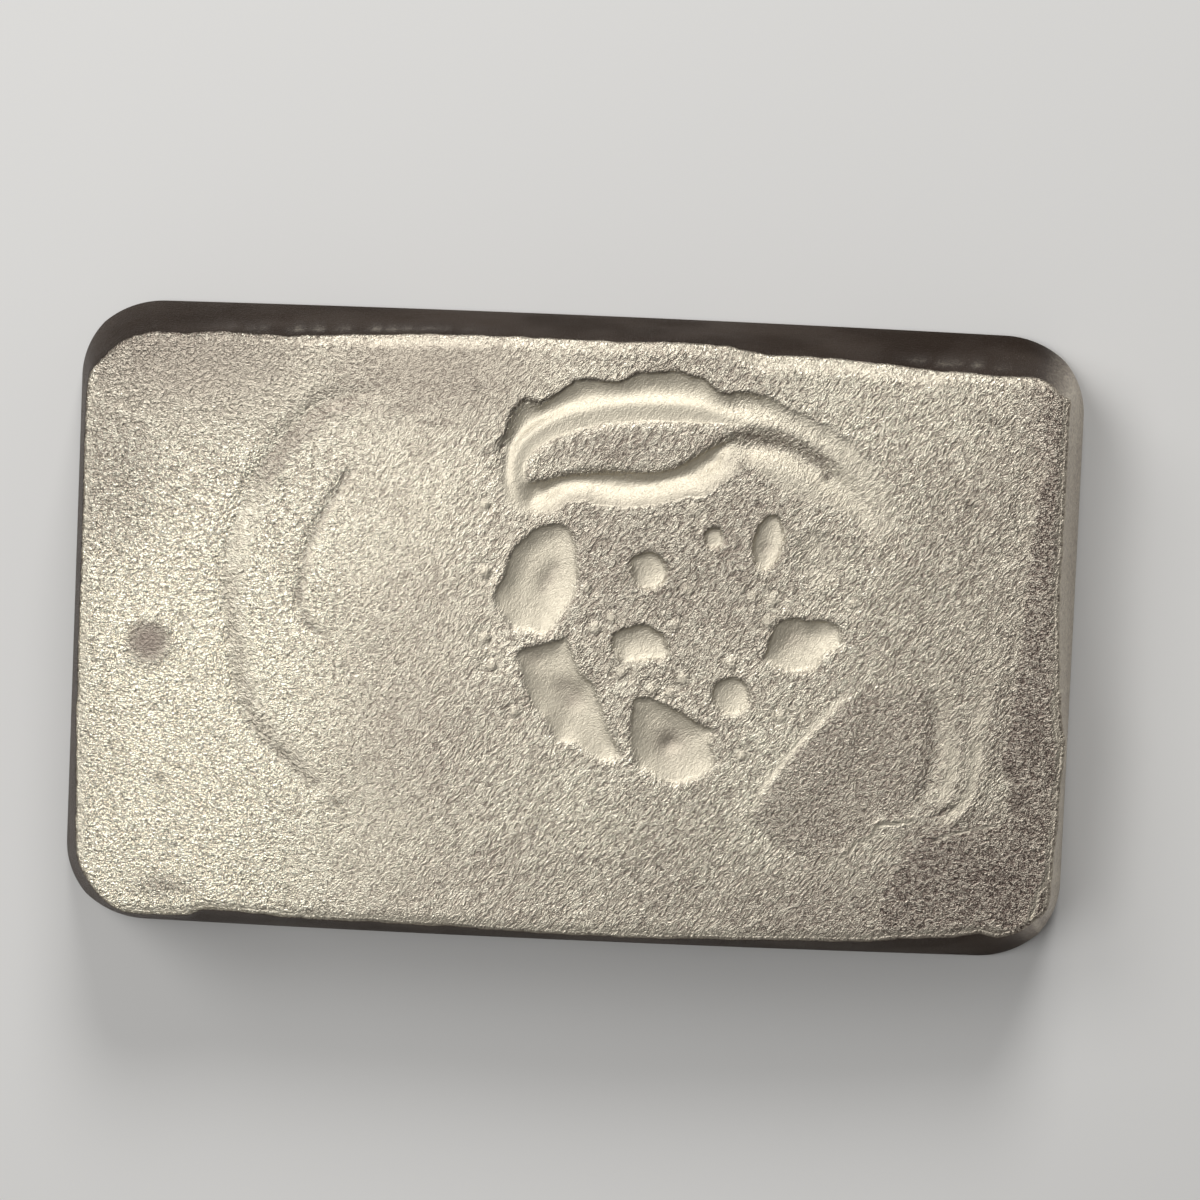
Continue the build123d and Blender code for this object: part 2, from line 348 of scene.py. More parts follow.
def oval(x, y, half_long, half_wide, turn=0.0):
    """The points of an oval basin's mouth."""
    points = []
    for i in range(10):
        along, across = half_long * cos(radians(36 * i)), half_wide * sin(radians(36 * i))
        points.append((x + along * cos(radians(turn)) - across * sin(radians(turn)),
                       y + along * sin(radians(turn)) + across * cos(radians(turn))))
    return points


def sink_share(patch, inside, far, near, curve=1.8):
    """The share of a basin's full depth at each place, and how much of a far wall is there."""
    slope_y, slope_x = np.gradient(inside, row_places[patch[0]], column_places[patch[1]])
    facing = smooth_step(blurred(slope_x * flow.x + slope_y * flow.y, 4), 0.05, 0.8)
    run = blurred(near + (far - near) * facing, 6)
    share = 1.0 - np.clip(1.0 - inside / run, 0.0, 1.0) ** curve
    return share + (blurred(share, 14) - share) * smooth_step(inside, 0.3, 1.0), facing


def basin(points, depth, far=far_run, near=near_run, hollows=(), ragged=0.1, skin=1.0):
    """Sinks a basin under its mouth, and hollows (x, y, reach, depth) in its floor, dulled and
    darkened with painted shade.
    """
    line = smooth_line(points, closed=True)
    patch = patch_round(line, 2.0)
    inside = depth_inside(patch, line) + ragged * lumps(at[patch], 0.7, 7.0)
    share, facing = sink_share(patch, inside, far, near)
    height[patch] -= depth * share
    height[patch] += mouth_lip * hump(inside + 0.4, 0.35)
    for x, y, reach, sunk in hollows:
        there = hump(away_from(at[patch], x, y), reach)
        height[patch] -= sunk * there
        # Paints shade into the hollow.
        cover(tarnish_and_shade, 1.3 * np.sqrt(sunk) * there, patch)
    on_gas = smooth_step(inside, -0.1, 0.15 + 0.5 * (1.0 - facing))
    cover(smooth_skin, skin * on_gas, patch)
    # A dark line painted under the far rim, as its shadow.
    cover(dirt_and_shade, painted_rim_shadow * skin * facing * hump(inside - 0.05, 0.12), patch)


big_left = [(-1.7, 10.9), (-3.3, 10.5), (-4.5, 9.5), (-5.5, 8.5), (-6.1, 7.1), (-6.5, 5.5), (-7.1, 4.5),
            (-7.3, 3.0), (-6.5, 1.8), (-5.5, 0.6), (-4.1, 0.3), (-2.5, 0.0), (-1.4, 0.8), (-0.7, 1.8),
            (0.1, 3.0), (0.7, 4.3), (0.9, 5.9), (0.8, 7.4), (0.6, 8.6), (0.3, 9.7), (-0.5, 10.6)]
long_left = [(-5.0, -1.8), (-4.2, -1.2), (-3.0, -0.8), (-1.0, -0.2), (-0.2, 0.1), (0.4, -0.9),
             (1.6, -3.3), (2.6, -4.2), (3.3, -5.5), (4.1, -7.7), (4.6, -8.9), (5.3, -10.2), (5.7, -11.1),
             (4.9, -11.7), (3.7, -11.8), (2.8, -11.5), (1.5, -10.6), (0.7, -10.2), (-0.9, -10.2),
             (-2.1, -8.0), (-2.9, -7.2), (-3.9, -5.6), (-4.6, -3.3)]
low_middle = [(6.5, -5.6), (7.7, -5.4), (9.0, -5.7), (10.2, -6.2), (11.6, -6.9), (13.0, -7.7),
              (14.4, -8.2), (14.2, -9.3), (14.6, -10.7), (14.6, -11.6), (13.8, -12.5), (12.8, -13.2),
              (10.8, -13.8), (9.7, -13.6), (8.0, -12.7), (7.1, -12.4), (6.6, -11.5), (6.2, -10.3),
              (6.1, -8.9), (6.2, -7.4)]
small_far = [(5.5, 7.6), (6.0, 8.2), (6.8, 8.5), (7.5, 8.7), (8.3, 8.3), (9.0, 7.7), (9.4, 7.1),
             (9.4, 6.4), (9.0, 5.6), (8.4, 5.1), (7.7, 4.8), (6.9, 4.8), (6.2, 5.2), (5.7, 6.0)]
small_middle = [(4.0, -0.8), (4.1, 0.2), (4.4, 0.8), (5.9, 1.4), (6.7, 1.6), (7.6, 1.6), (8.4, 1.1),
                (9.2, 0.6), (9.8, -0.5), (9.9, -1.0), (9.4, -1.6), (7.8, -1.9), (6.0, -2.2), (5.3, -2.3),
                (4.9, -2.0), (4.4, -1.4)]
right_middle = [(20.4, 2.6), (21.5, 2.9), (22.5, 2.7), (24.2, 2.8), (25.0, 2.6), (25.9, 2.2), (26.2, 1.3),
                (26.2, 0.5), (25.5, -0.2), (24.8, -0.5), (24.4, -1.1), (24.2, -1.7), (23.8, -2.1),
                (22.9, -2.4), (21.4, -2.6), (19.8, -2.1), (18.6, -1.5), (18.8, -0.6), (19.2, 0.8),
                (19.5, 1.6), (19.9, 2.2)]
basin(big_left, pit_depth,
      hollows=[(-2.6, 4.6, 0.7, 0.07), (-2.2, 5.6, 0.8, 0.13), (-1.6, 6.7, 0.7, 0.07)])
basin(long_left, pit_depth,
      hollows=[(-0.3, -4.7, 0.9, 0.12), (0.6, -5.8, 1.1, 0.2), (-3.4, -2.2, 1.0, 0.06)])
basin(low_middle, pit_depth, hollows=[(10.0, -9.6, 1.6, 0.18), (10.1, -9.7, 0.8, 0.26)])
basin(small_far, 0.36, far=0.9, near=1.4)
basin(small_middle, 0.42, far=1.1, near=1.7)
basin(right_middle, 0.5, hollows=[(21.3, 0.8, 1.1, 0.08)])
basin(oval(13.5, 10.1, 1.1, 1.1), 0.25, far=0.5, near=0.9)
basin(oval(18.7, 9.9, 2.8, 1.6, turn=78), 0.36, far=0.9, near=1.4, hollows=[(18.4, 9.4, 0.8, 0.08)])
basin(oval(15.8, -5.0, 2.0, 1.95), 0.32, far=1.0, near=1.6)
basin(oval(23.3, 8.6, 2.3, 2.7, turn=10), 0.14, near=2.0, skin=0.35)

# Small smooth beads of metal between the blowholes, each in a shallow moat.
beads = [(11.2, 5.1), (2.5, 1.1), (4.0, 2.1), (8.1, -4.6), (9.9, -4.8), (18.9, 2.4), (15.7, -1.7),
         (27.0, 4.4), (11.0, -3.4), (10.1, 1.7), (5.2, -3.1), (-8.0, -0.3), (-7.3, -2.9), (-4.9, -7.3),
         (-8.3, 6.0), (1.5, 4.9), (17.0, -10.6), (20.5, -6.6), (11.4, 12.8), (17.4, 4.7), (19.4, 4.5),
         (-8.6, 12.4)]
for x, y in beads:
    away = away_from(at, x, y) / (1.0 + 0.4 * noise.noise((x, y, 51.0)))
    height += bead_height * hump(away, 0.42) - bead_moat_depth * hump(away - 0.72, 0.35)
    cover(smooth_skin, bead_smoothness * hump(away, 0.45))

# The air pocket near the far edge. Air trapped there held the metal off the mould's floor, so
# most of it froze with a smooth skin. Inside, an island of metal did reach the floor and took
# its grain, and a sharp-backed ridge runs round the island's far side and left end.
pocket_depth = 0.66
mouth = [(-8.3, 17.6), (-7.0, 19.3), (-6.6, 20.9), (-6.0, 22.0), (-5.0, 22.8), (-4.4, 22.6),
         (-3.6, 22.5), (-2.7, 23.0), (-1.6, 23.7), (-0.8, 24.2), (-0.4, 24.6), (1.2, 24.8), (3.7, 24.7),
         (5.5, 25.5), (8.0, 25.8), (9.3, 25.9), (10.5, 25.6), (11.9, 25.3), (12.6, 24.7), (13.4, 24.1),
         (14.3, 24.0), (15.3, 24.2), (17.8, 23.9), (20.1, 22.8), (21.7, 22.3), (23.0, 21.5),
         (23.9, 21.4), (24.9, 20.5), (26.2, 19.9), (27.0, 18.9), (28.7, 17.5), (30.5, 14.5),
         (31.0, 12.5), (30.0, 11.0), (28.0, 11.6), (26.2, 12.6), (24.6, 13.6), (23.2, 13.9),
         (21.6, 14.1), (20.4, 14.4), (19.4, 15.1), (18.4, 15.9), (17.2, 16.7), (16.2, 17.4),
         (15.7, 18.0), (15.4, 17.7), (15.6, 17.1), (15.0, 16.2), (14.1, 15.5), (13.0, 14.6),
         (12.2, 14.0), (11.0, 13.9), (9.4, 13.5), (7.9, 13.0), (6.3, 12.8), (4.8, 12.6), (2.2, 12.8),
         (0.9, 13.1), (-0.6, 12.9), (-1.6, 12.1), (-2.8, 11.5), (-4.2, 11.2), (-6.4, 11.8), (-8.4, 14.0)]
ridge = [(-4.6, 11.6), (-5.7, 13.2), (-6.2, 15.0), (-6.1, 16.7), (-5.5, 18.4), (-4.2, 19.8), (-1.7, 21.3),
         (0.4, 21.9), (2.5, 22.4), (6.8, 22.8), (11.1, 22.7), (14.0, 21.9), (17.1, 21.2), (20.0, 20.5),
         (22.5, 19.3), (24.8, 18.0), (26.8, 16.6), (28.4, 15.0), (29.6, 12.8)]
trough = [(-3.7, 14.1), (-3.1, 14.0), (-0.6, 14.8), (2.8, 15.3), (7.1, 15.2), (10.0, 16.0), (12.7, 17.7),
          (14.4, 18.8), (16.4, 19.3), (18.4, 19.3), (20.7, 18.7), (22.8, 17.6), (24.8, 16.2),
          (27.0, 14.2), (28.6, 12.0)]
island = [(-4.6, 15.6), (-4.4, 17.0), (-2.8, 18.4), (-0.9, 19.3), (1.2, 20.0), (5.7, 20.7), (11.5, 20.9),
          (15.0, 20.8), (16.6, 20.6), (15.5, 19.9), (12.7, 18.8), (9.9, 17.0), (7.1, 16.3), (2.8, 16.1),
          (-0.6, 15.7), (-2.6, 15.2), (-4.2, 14.9)]

line = smooth_line(mouth, closed=True)
patch = patch_round(line, 2.0)
pocket_x, pocket_y = at[patch][..., 0], at[patch][..., 1]
inside = depth_inside(patch, line) + 0.1 * lumps(at[patch], 0.7, 7.0)
from_island = depth_inside(patch, smooth_line(island, closed=True)) + 0.08 * lumps(at[patch], 0.8, 8.0)
past_ridge = near_line(at[patch], smooth_line(ridge))[0]
past_trough = near_line(at[patch], smooth_line(trough))[0]

# The pocket's walls: a steep one under the far rim, which runs out longer at the right, and a
# slope up to the near rim.
at_right = smooth_step(pocket_x, 13.0, 17.0)
sunk, facing = sink_share(patch, inside, far=2.1, near=2.0, curve=2.0)
right_run = 1.2 + 1.4 * smooth_step(pocket_x, 16.0, 22.0)
sunk += (sink_share(patch, inside, far=right_run, near=1.6, curve=1.3)[0] - sunk) * at_right
near_ramp = np.clip(inside / 2.0, 0.0, 1.0) ** 2.2
near_slope = near_ramp + (1.0 - smooth_step(-past_trough, 0.0, 2.3) - near_ramp) * at_right

# The ridge and the island stand up out of the pocket's floor, down to the trough.
far_side_run = 2.2 - smooth_step(-pocket_x, -1.0, 3.0)
far_side = np.clip(1.0 - past_ridge / far_side_run, 0.0, 1.0) ** (3.0 - 1.8 * at_right)
near_side = 1.0 - 0.13 * smooth_step(-past_ridge, 0.05, 1.3)
crest = (0.92 + 0.08 * at_right) * np.where(past_ridge > 0.0, far_side, near_side)
raised = np.maximum(blurred(crest, 1), smooth_step(from_island, -0.35, 0.05))
valley_run = 1.15 + 0.7 * smooth_step(pocket_x, 12.5, 18.0)
raised = np.minimum(raised, np.clip(past_trough / valley_run, 0.0, 1.0))

# Its two ends: at the left the ridge bends round the island, and at the right the pocket rises
# into a soft valley.
left_rise = smooth_step(-pocket_x, 4.2, 5.8) * (1.0 - smooth_step(pocket_y, 16.5, 18.5))
raised = np.maximum(raised, 0.4 * left_rise)
raised = np.maximum(raised, crest * smooth_step(-pocket_x, 3.8, 5.6))
left_bend = 0.9 * np.clip(pocket_y - 17.5, 0.0, 4.0) - 2.0 * (1.0 - smooth_step(pocket_y, 13.0, 16.0))
left_end = smooth_step(pocket_x + left_bend, -8.8, -4.6)
ends = left_end * (1.0 + 0.15 * at_right - 1.1 * smooth_step(pocket_x, 21.5, 31.0))
sunk = np.where(past_trough > 0.0, sunk, near_slope) * (1.0 - raised) * ends
sunk += (blurred(sunk, 3) - sunk) * smooth_step(inside, 0.2, 0.6)
height[patch] -= pocket_depth * sunk

# Its skin: smooth where air lay against it, and grainy on the island and in the valley. Shade is
# painted in the valley, and as a dark line of shadow under the far rim.
rim_width = 0.15 + 1.2 * smooth_step(-pocket_x, 1.0, 5.0)
on_air = smooth_step(inside, -0.1, rim_width) * smooth_step(-from_island, 0.0, 0.3)
on_air *= 1.0 - 0.3 * smooth_step(pocket_x, 12.0, 17.0) - 0.3 * smooth_step(pocket_x, 25.0, 31.0)
in_valley = smooth_step(pocket_x, 14.0, 17.0) * (1.0 - smooth_step(pocket_x, 23.0, 26.0))
in_valley *= hump(past_trough - 0.6, 0.9)
on_air *= 1.0 - 0.8 * in_valley
left_grain = smooth_step(-pocket_x, 6.0, 7.6) * (1.0 - smooth_step(pocket_y, 17.5, 19.0))
on_air *= 1.0 - left_grain * smooth_step(past_ridge, 0.2, 0.9)
near_rim = (1.0 - smooth_step(inside, 0.3, 1.3)) * smooth_step(inside, 0.0, 0.3)
near_rim *= smooth_step(-past_trough, 0.0, 0.4)
# Painted shade in the valley; the smooth skin is also a little darker along the near rim.
cover(tarnish_and_shade, np.maximum(0.35 * in_valley, 0.25 * near_rim * on_air) * ends, patch)
right_band = at_right * (1.0 - smooth_step(pocket_x, 22.0, 25.0)) * hump(past_trough + 1.2, 0.8)
cover(smooth_skin, np.maximum(on_air, 0.8 * right_band), patch)
# Painted shadow under the far rim.
far_rim_shadow = facing * hump(inside - 0.05, 0.15) * (1.0 - 0.6 * smooth_step(pocket_x, 12.0, 20.0))
cover(dirt_and_shade, 0.8 * far_rim_shadow * smooth_step(pocket_y, 17.0, 19.0), patch)
crease([(-6.6, 18.5), (-7.4, 17.6), (-8.3, 17.2), (-9.3, 17.1)], depth=0.10, reach=0.2, valley_shade=0.7)

# Stains and specks. Dull patches of oxide on the skin, darkest at the lower right, and a few
# specks of dirt. They lie on the surface and are not cast into it. Some broad patches also paint
# shade, where the light falls off towards the right and into the far left corner.
matte_smoothness = 0.75
clean_skin = 1.0 - 0.75 * smooth_skin  # the smooth skin takes little of a stain


def stain(points, strength, soft):
    """Dulls the skin inside a closed line, with a soft border."""
    inside = depth_inside((slice(None), slice(None)), smooth_line(points, closed=True))
    inside += 0.6 * soft * lumps(at, 1.2, 21.0)
    cover(tarnish_and_shade, clean_skin * strength * smooth_step(inside, -soft, soft))


right_end = [(44.4, 17.0), (49.0, 17.0), (49.0, -29.5), (33.0, -29.5), (31.0, -23.0), (34.6, -17.7),
             (36.9, -16.6), (39.0, -16.2), (42.1, -15.6), (42.6, -13.5), (42.2, -11.6), (41.6, -10.2),
             (42.3, -7.7), (42.4, -6.0), (42.9, 0.0), (43.4, 8.0)]
fold_patch = [(x + 0.5, y - 0.3) for x, y in fold_step] + fold_side + fold_foot[1:] + fold_tip[3:0:-1]
stain(right_end, 0.78, 0.55)
stain(fold_patch, 0.48, 0.4)

# Round patches of dulled skin, of oxide and of painted shade, each as x, y, its reach along x
# and y, and its strength.
dull_and_shade_patches = [
    (43.6, -13.6, 1.0, 1.5, 1.0), (42.7, -10.5, 0.9, 0.9, 0.9), (46.8, -11.2, 0.9, 1.2, 0.9),
    (46.6, -6.6, 1.0, 1.2, 0.8), (30.0, -26.0, 16.0, 7.0, 0.5), (40.0, 4.0, 10.0, 20.0, 0.38),
    (9.0, 10.0, 14.0, 11.0, 0.34), (-47.0, 0.0, 4.0, 30.0, 0.16), (-14.0, -9.0, 9.0, 15.0, 0.24),
    (-15.0, 25.0, 12.0, 5.0, 0.6), (47.0, 23.0, 5.0, 8.0, 0.7), (-38.1, -25.4, 2.8, 1.2, 0.5),
    (-40.2, -2.1, 2.0, 2.0, 1.2), (-39.0, 27.0, 15.0, 8.0, 0.75), (-46.0, 18.0, 7.0, 13.0, 0.45),
    (-16.0, 25.0, 17.0, 6.0, 0.24), (5.0, 26.0, 14.0, 3.0, 0.2), (3.0, -24.0, 26.0, 6.0, 0.24),
    (3.0, 18.4, 9.0, 2.5, 0.42), (43.0, -22.0, 12.0, 8.0, 0.9),
]
for x, y, reach_x, reach_y, strength in dull_and_shade_patches:
    cover(tarnish_and_shade, clean_skin * strength * np.exp(-away_from(at, x, y, reach_x, reach_y) ** 3))

# Specks of dirt, given in the same way.
specks = [
    (-38.7, -15.2, 0.35, 0.7, 0.5), (-21.8, -16.6, 0.9, 0.5, 0.5), (-30.2, -9.4, 0.4, 0.3, 0.5),
    (3.5, -15.5, 0.4, 0.25, 0.6), (37.6, 14.3, 0.35, 0.3, 0.95), (23.9, 16.4, 0.4, 0.4, 0.9),
    (42.4, -10.6, 0.9, 0.7, 0.5), (43.3, -13.8, 0.9, 0.7, 0.45), (46.8, -11.2, 0.6, 0.9, 0.35),
    (45.0, -8.6, 1.1, 1.2, 0.25), (-9.8, 23.5, 0.2, 0.4, 0.8), (-14.4, 20.0, 1.2, 0.3, 0.35),
    (15.9, 17.5, 0.45, 0.35, 0.5),
]
for x, y, reach_x, reach_y, strength in specks:
    cover(dirt_and_shade, strength * hump(away_from(at, x, y, reach_x, reach_y), 1.0))

# Where the skin is matte: a round spot near the left end, and two patches along the far edge.
cover(smooth_skin, matte_smoothness * (1.0 - smooth_step(away_from(at, -40.2, -2.1), 1.5, 2.0)))
for x, y, reach_x, reach_y in [(-35.0, 24.0, 14.0, 6.0), (-15.0, 25.5, 11.0, 5.0)]:
    cover(smooth_skin, matte_smoothness * hump(away_from(at, x, y, reach_x, reach_y), 1.0))
height = np.minimum(height, highest_level)

# The sides and the rim. The sides lean in by the mould's draft and meet the upper face in a
# small edge. At the foot they roll into the round rim that the metal's skin drew round its
# open top. Their skin is darker, above all on the far side and the left end: browner in its own
# colour and darker still with painted shade, while the right end is painted lighter.
wall_draft = radians(11.4)
rim_radius = 1.6
foot_corner = 8.0
long_side_bow = 0.4
box_clearance = 0.05
wall_unevenness = 0.10
edge_steps, wall_steps, rim_steps = 4, 6, 6
side_darkness, right_end_painted_light, fleck_gain = 0.98, 0.8, 0.5
flecked_stretches = [(-25.0, 13.0), (38.0, 6.0)]  # the middle of each along the side, and its reach

casting = bmesh.new()
bmesh.ops.create_grid(casting, x_segments=columns, y_segments=rows, size=0.5)
turn_layer = casting.verts.layers.int.new("turn")
masks = {"smooth_skin": smooth_skin, "dirt_and_shade": dirt_and_shade, "tarnish_and_shade": tarnish_and_shade}
layers = {name: casting.verts.layers.float.new(name) for name in (*masks, "side")}
for i, vert in enumerate(casting.verts):
    row, column = divmod(i, columns + 1)
    vert.co = (*at[row, column], height[row, column])
    vert[turn_layer] = i
    for name, values in masks.items():
        vert[layers[name]] = values[row, column]

edges = [e for e in casting.edges if e.is_boundary]
walk = [edges[0].verts[0]]
behind = None
while True:
    behind = next(e for e in walk[-1].link_edges if e.is_boundary and e is not behind)
    following = behind.other_vert(walk[-1])
    if following is walk[0]:
        break
    walk.append(following)


def outward_from(outline):
    """The direction straight out of a closed outline at each of its places."""
    along = np.roll(outline, -3, axis=0) - np.roll(outline, 3, axis=0)
    out = np.column_stack([along[:, 1], -along[:, 0]]) / np.hypot(along[:, 0], along[:, 1])[:, None]
    return out if np.sum(out * outline) > 0 else -out


# The face's own outline, and the foot's regular one where the sides meet the rim.
foot_half_x = half_length - box_clearance - rim_radius * (1 - cos(wall_draft))
foot_half_y = half_width - box_clearance - rim_radius * (1 - cos(wall_draft))
foot_level = rim_radius * (1 + sin(wall_draft))
numbers = [v[turn_layer] for v in walk]
outline = np.array([(v.co.x, v.co.y) for v in walk])
brink = np.array([v.co.z for v in walk])
edge_masks = {name: [v[layers[name]] for v in walk] for name in masks}
foot = plain.reshape(-1, 2)[numbers] * (foot_half_x / face_half_x, foot_half_y / face_half_y)
foot[:, 1] *= 1.0 - long_side_bow / foot_half_y * (foot[:, 0] / foot_half_x) ** 2
foot = rounded_corners(foot, foot_half_x, foot_half_y, foot_corner)
face_out, foot_out = outward_from(outline), outward_from(foot)
for i, vert in enumerate(walk):
    vert[turn_layer] = i

# How dark the side is all round, partly as painted shade: less at the right end, which is
# painted lighter, and less in two flecked stretches high on the far side.
side_dark = side_darkness - right_end_painted_light * smooth_step(foot_out[:, 0], 0.3, 0.95)
on_far = smooth_step(foot_out[:, 1], 0.2, 0.8)
flecked = fleck_gain * on_far * sum(hump(foot[:, 0] - x, reach) for x, reach in flecked_stretches)
flecked *= np.clip(0.55 + 1.1 * lumps(foot, 1.1, 33.0), 0.0, 1.0)

# Each ring of the sides: its places, its heights, and how far it has gone to the side's skin.
rings = []
for i in range(1, edge_steps + 1):
    angle = (radians(90) - wall_draft) * i / edge_steps
    rings.append((outline + face_out * edge_radius * sin(angle), brink - edge_radius * (1 - cos(angle)),
                  side_dark * i / edge_steps))
wall_top, wall_top_level = rings[-1][:2]
for i in range(1, wall_steps + 1):
    share = i / wall_steps
    places = wall_top + (foot - wall_top) * share
    uneven = wall_unevenness * sin(pi * share) * lumps(places + 40.0 * share, 5.0, 31.0)
    levels = wall_top_level + (foot_level - wall_top_level) * share
    rings.append((places + foot_out * uneven[:, None], levels,
                  side_dark - flecked * (1.0 - smooth_step(share, 0.05, 0.5))))
for i in range(1, rim_steps + 1):
    angle = -wall_draft + (radians(90) + wall_draft) * i / rim_steps
    rings.append((foot + foot_out * rim_radius * (cos(angle) - cos(wall_draft)),
                  np.full(len(foot), rim_radius * (1 - sin(angle))), side_dark))
for places, levels, side in rings:
    made = bmesh.ops.extrude_edge_only(casting, edges=edges)["geom"]
    edges = [g for g in made if isinstance(g, bmesh.types.BMEdge) and g.is_boundary]
    for vert in (g for g in made if isinstance(g, bmesh.types.BMVert)):
        i = vert[turn_layer]
        vert.co = (*places[i], levels[i])
        vert[layers["side"]] = side[i]
        vert[layers["smooth_skin"]] = 0.0
        vert[layers["dirt_and_shade"]] = edge_masks["dirt_and_shade"][i] * (1.0 - side[i])

# The open face underneath. It was the top of the pour, so it froze in the open air, nearly
# level and faintly uneven. It lies on the floor and was never seen, so it is finished plainly.
under_columns, under_rows = 60, 38
under_inset = 1.2
dish_depth = 0.06
under_darkness = 0.6

across_shares = np.linspace(-1.0, 1.0, under_columns + 1)
back_shares = np.linspace(-1.0, 1.0, under_rows + 1)
across, back = np.meshgrid(across_shares, back_shares)
under_half_x = foot_half_x - rim_radius - under_inset
under_half_y = foot_half_y - rim_radius - under_inset
under = np.stack([across * under_half_x, back * under_half_y], axis=-1)
under[..., 1] *= 1.0 - long_side_bow / foot_half_y * across ** 2
under = rounded_corners(under, under_half_x, under_half_y, foot_corner - rim_radius - under_inset)
under_level = dish_depth * (1.0 + 0.8 * lumps(under, 11.0, 41.0))
made = bmesh.ops.create_grid(casting, x_segments=under_columns, y_segments=under_rows, size=0.5)
for i, vert in enumerate(made["verts"]):
    row, column = divmod(i, under_columns + 1)
    vert.co = (*under[row, column], under_level[row, column])
    vert[layers["side"]] = under_darkness
open_edges = [e for e in casting.edges if e.is_boundary]
bmesh.ops.bridge_loops(casting, edges=open_edges)
bmesh.ops.recalc_face_normals(casting, faces=casting.faces)
bmesh.ops.scale(casting, vec=(MM, MM, MM), verts=casting.verts)
for face in casting.faces:
    face.smooth = True

mesh = bpy.data.meshes.new("ingot_casting")
casting.to_mesh(mesh)
casting.free()
ingot = bpy.data.objects.new("ingot_casting", mesh)
bpy.context.scene.collection.objects.link(ingot)

# The cast skin. White metal, frosted with the print of the mould's grain, smooth where gas or
# air lay against it. The grain is even and sparkling at the left, drawn out aslant in the
# middle, and coarse and dark at the lower right. The sides are browner.
warm_cream, pale_cream = (0.60, 0.53, 0.425), (0.71, 0.64, 0.51)
# The near-left cream is paler as a painted sheen.
far_left_cream, near_left_sheen_cream = (0.71, 0.635, 0.505), (0.93, 0.845, 0.66)
# The top cream is a painted highlight, and the smooth cream a painted sheen.
highlight_cream, smooth_sheen_cream = (1.0, 0.945, 0.77), (0.81, 0.74, 0.595)
# The oxide and dirt browns are also mixed in as painted shade.
oxide_and_shade_brown, hollow_shade_and_oxide_brown, dirt_and_shade_brown = (0.28, 0.215, 0.19), (0.13, 0.095, 0.08), (0.09, 0.07, 0.055)
dark_side_brown, pale_side_brown = (0.062, 0.051, 0.046), (0.112, 0.094, 0.084)
face_glint, side_glint = (1.0, 1.0, 1.0), (0.38, 0.345, 0.32)
grain_depth = 0.155

skin = bpy.data.materials.new("cast_white_metal")
skin.use_nodes = True
nodes = skin.node_tree.nodes
links = skin.node_tree.links
shader = nodes["Principled BSDF"]
shader.inputs["Metallic"].default_value = 1.0
place = nodes.new("ShaderNodeTexCoord")


def attribute(name):
    """The mask that the mesh carries under this name."""
    node = nodes.new("ShaderNodeAttribute")
    node.attribute_name = name
    return node.outputs["Fac"]


def grain_noise(length, width, turn=0.0, detail=3.0, distortion=0.0):
    """Noise in lumps this long and wide, in millimetres, with their length turned on the face."""
    mapping = nodes.new("ShaderNodeMapping")
    mapping.vector_type = "TEXTURE"
    mapping.inputs["Rotation"].default_value = (0.0, 0.0, radians(turn))
    mapping.inputs["Scale"].default_value = (length * MM, width * MM, width * MM)
    texture = nodes.new("ShaderNodeTexNoise")
    texture.inputs["Scale"].default_value = 1.0
    texture.inputs["Detail"].default_value = detail
    texture.inputs["Distortion"].default_value = distortion
    links.new(place.outputs["Object"], mapping.inputs["Vector"])
    links.new(mapping.outputs["Vector"], texture.inputs["Vector"])
    return texture.outputs["Fac"]


def calculate(operation, a, b):
    """One step of arithmetic on two values or outputs."""
    node = nodes.new("ShaderNodeMath")
    node.operation = operation
    for socket, value in zip(node.inputs, (a, b)):
        if isinstance(value, (int, float)):
            socket.default_value = value
        else:
            links.new(value, socket)
    return node.outputs["Value"]


def times(a, b):
    """The product of two values or outputs."""
    return calculate("MULTIPLY", a, b)


def plus(a, b):
    """The sum of two values or outputs."""
    return calculate("ADD", a, b)


def minus(a, b):
    """The difference of two values or outputs."""
    return calculate("SUBTRACT", a, b)


def spread(value, low_in, high_in, low_out, high_out):
    """Stretches a value from one range to another, held at the ends."""
    node = nodes.new("ShaderNodeMapRange")
    sockets = ("From Min", "From Max", "To Min", "To Max")
    for name, number in zip(sockets, (low_in, high_in, low_out, high_out)):
        node.inputs[name].default_value = number
    links.new(value, node.inputs["Value"])
    return node.outputs["Result"]


def tint(share, under, over):
    """Mixes two colours, or outputs, by a share."""
    node = nodes.new("ShaderNodeMix")
    node.data_type = "RGBA"
    for socket, colour in ((node.inputs["A"], under), (node.inputs["B"], over)):
        if isinstance(colour, tuple):
            socket.default_value = (*colour, 1.0)
        else:
            links.new(colour, socket)
    links.new(share, node.inputs["Factor"])
    return node.outputs["Result"]


split = nodes.new("ShaderNodeSeparateXYZ")
links.new(place.outputs["Object"], split.inputs["Vector"])
face_x, face_y = split.outputs["X"], split.outputs["Y"]
smoothness, dull_and_shade, side_share = attribute("smooth_skin"), attribute("tarnish_and_shade"), attribute("side")

# The relief: even lumps at the left and where oxide and painted shade dull the skin, slanting
# strokes elsewhere.
even = grain_noise(0.34, 0.34, detail=2.0, distortion=0.5)
strokes = grain_noise(0.58, 0.25, turn=55, detail=2.0, distortion=0.7)
fine = grain_noise(0.13, 0.13, detail=1.0)
aslant = times(spread(face_x, -26 * MM, -8 * MM, 0.0, 1.0), spread(dull_and_shade, 0.40, 0.55, 1.0, 0.1))
relief = plus(even, times(aslant, minus(strokes, even)))
grain = minus(1.0, times(times(smoothness, smoothness), 0.72))

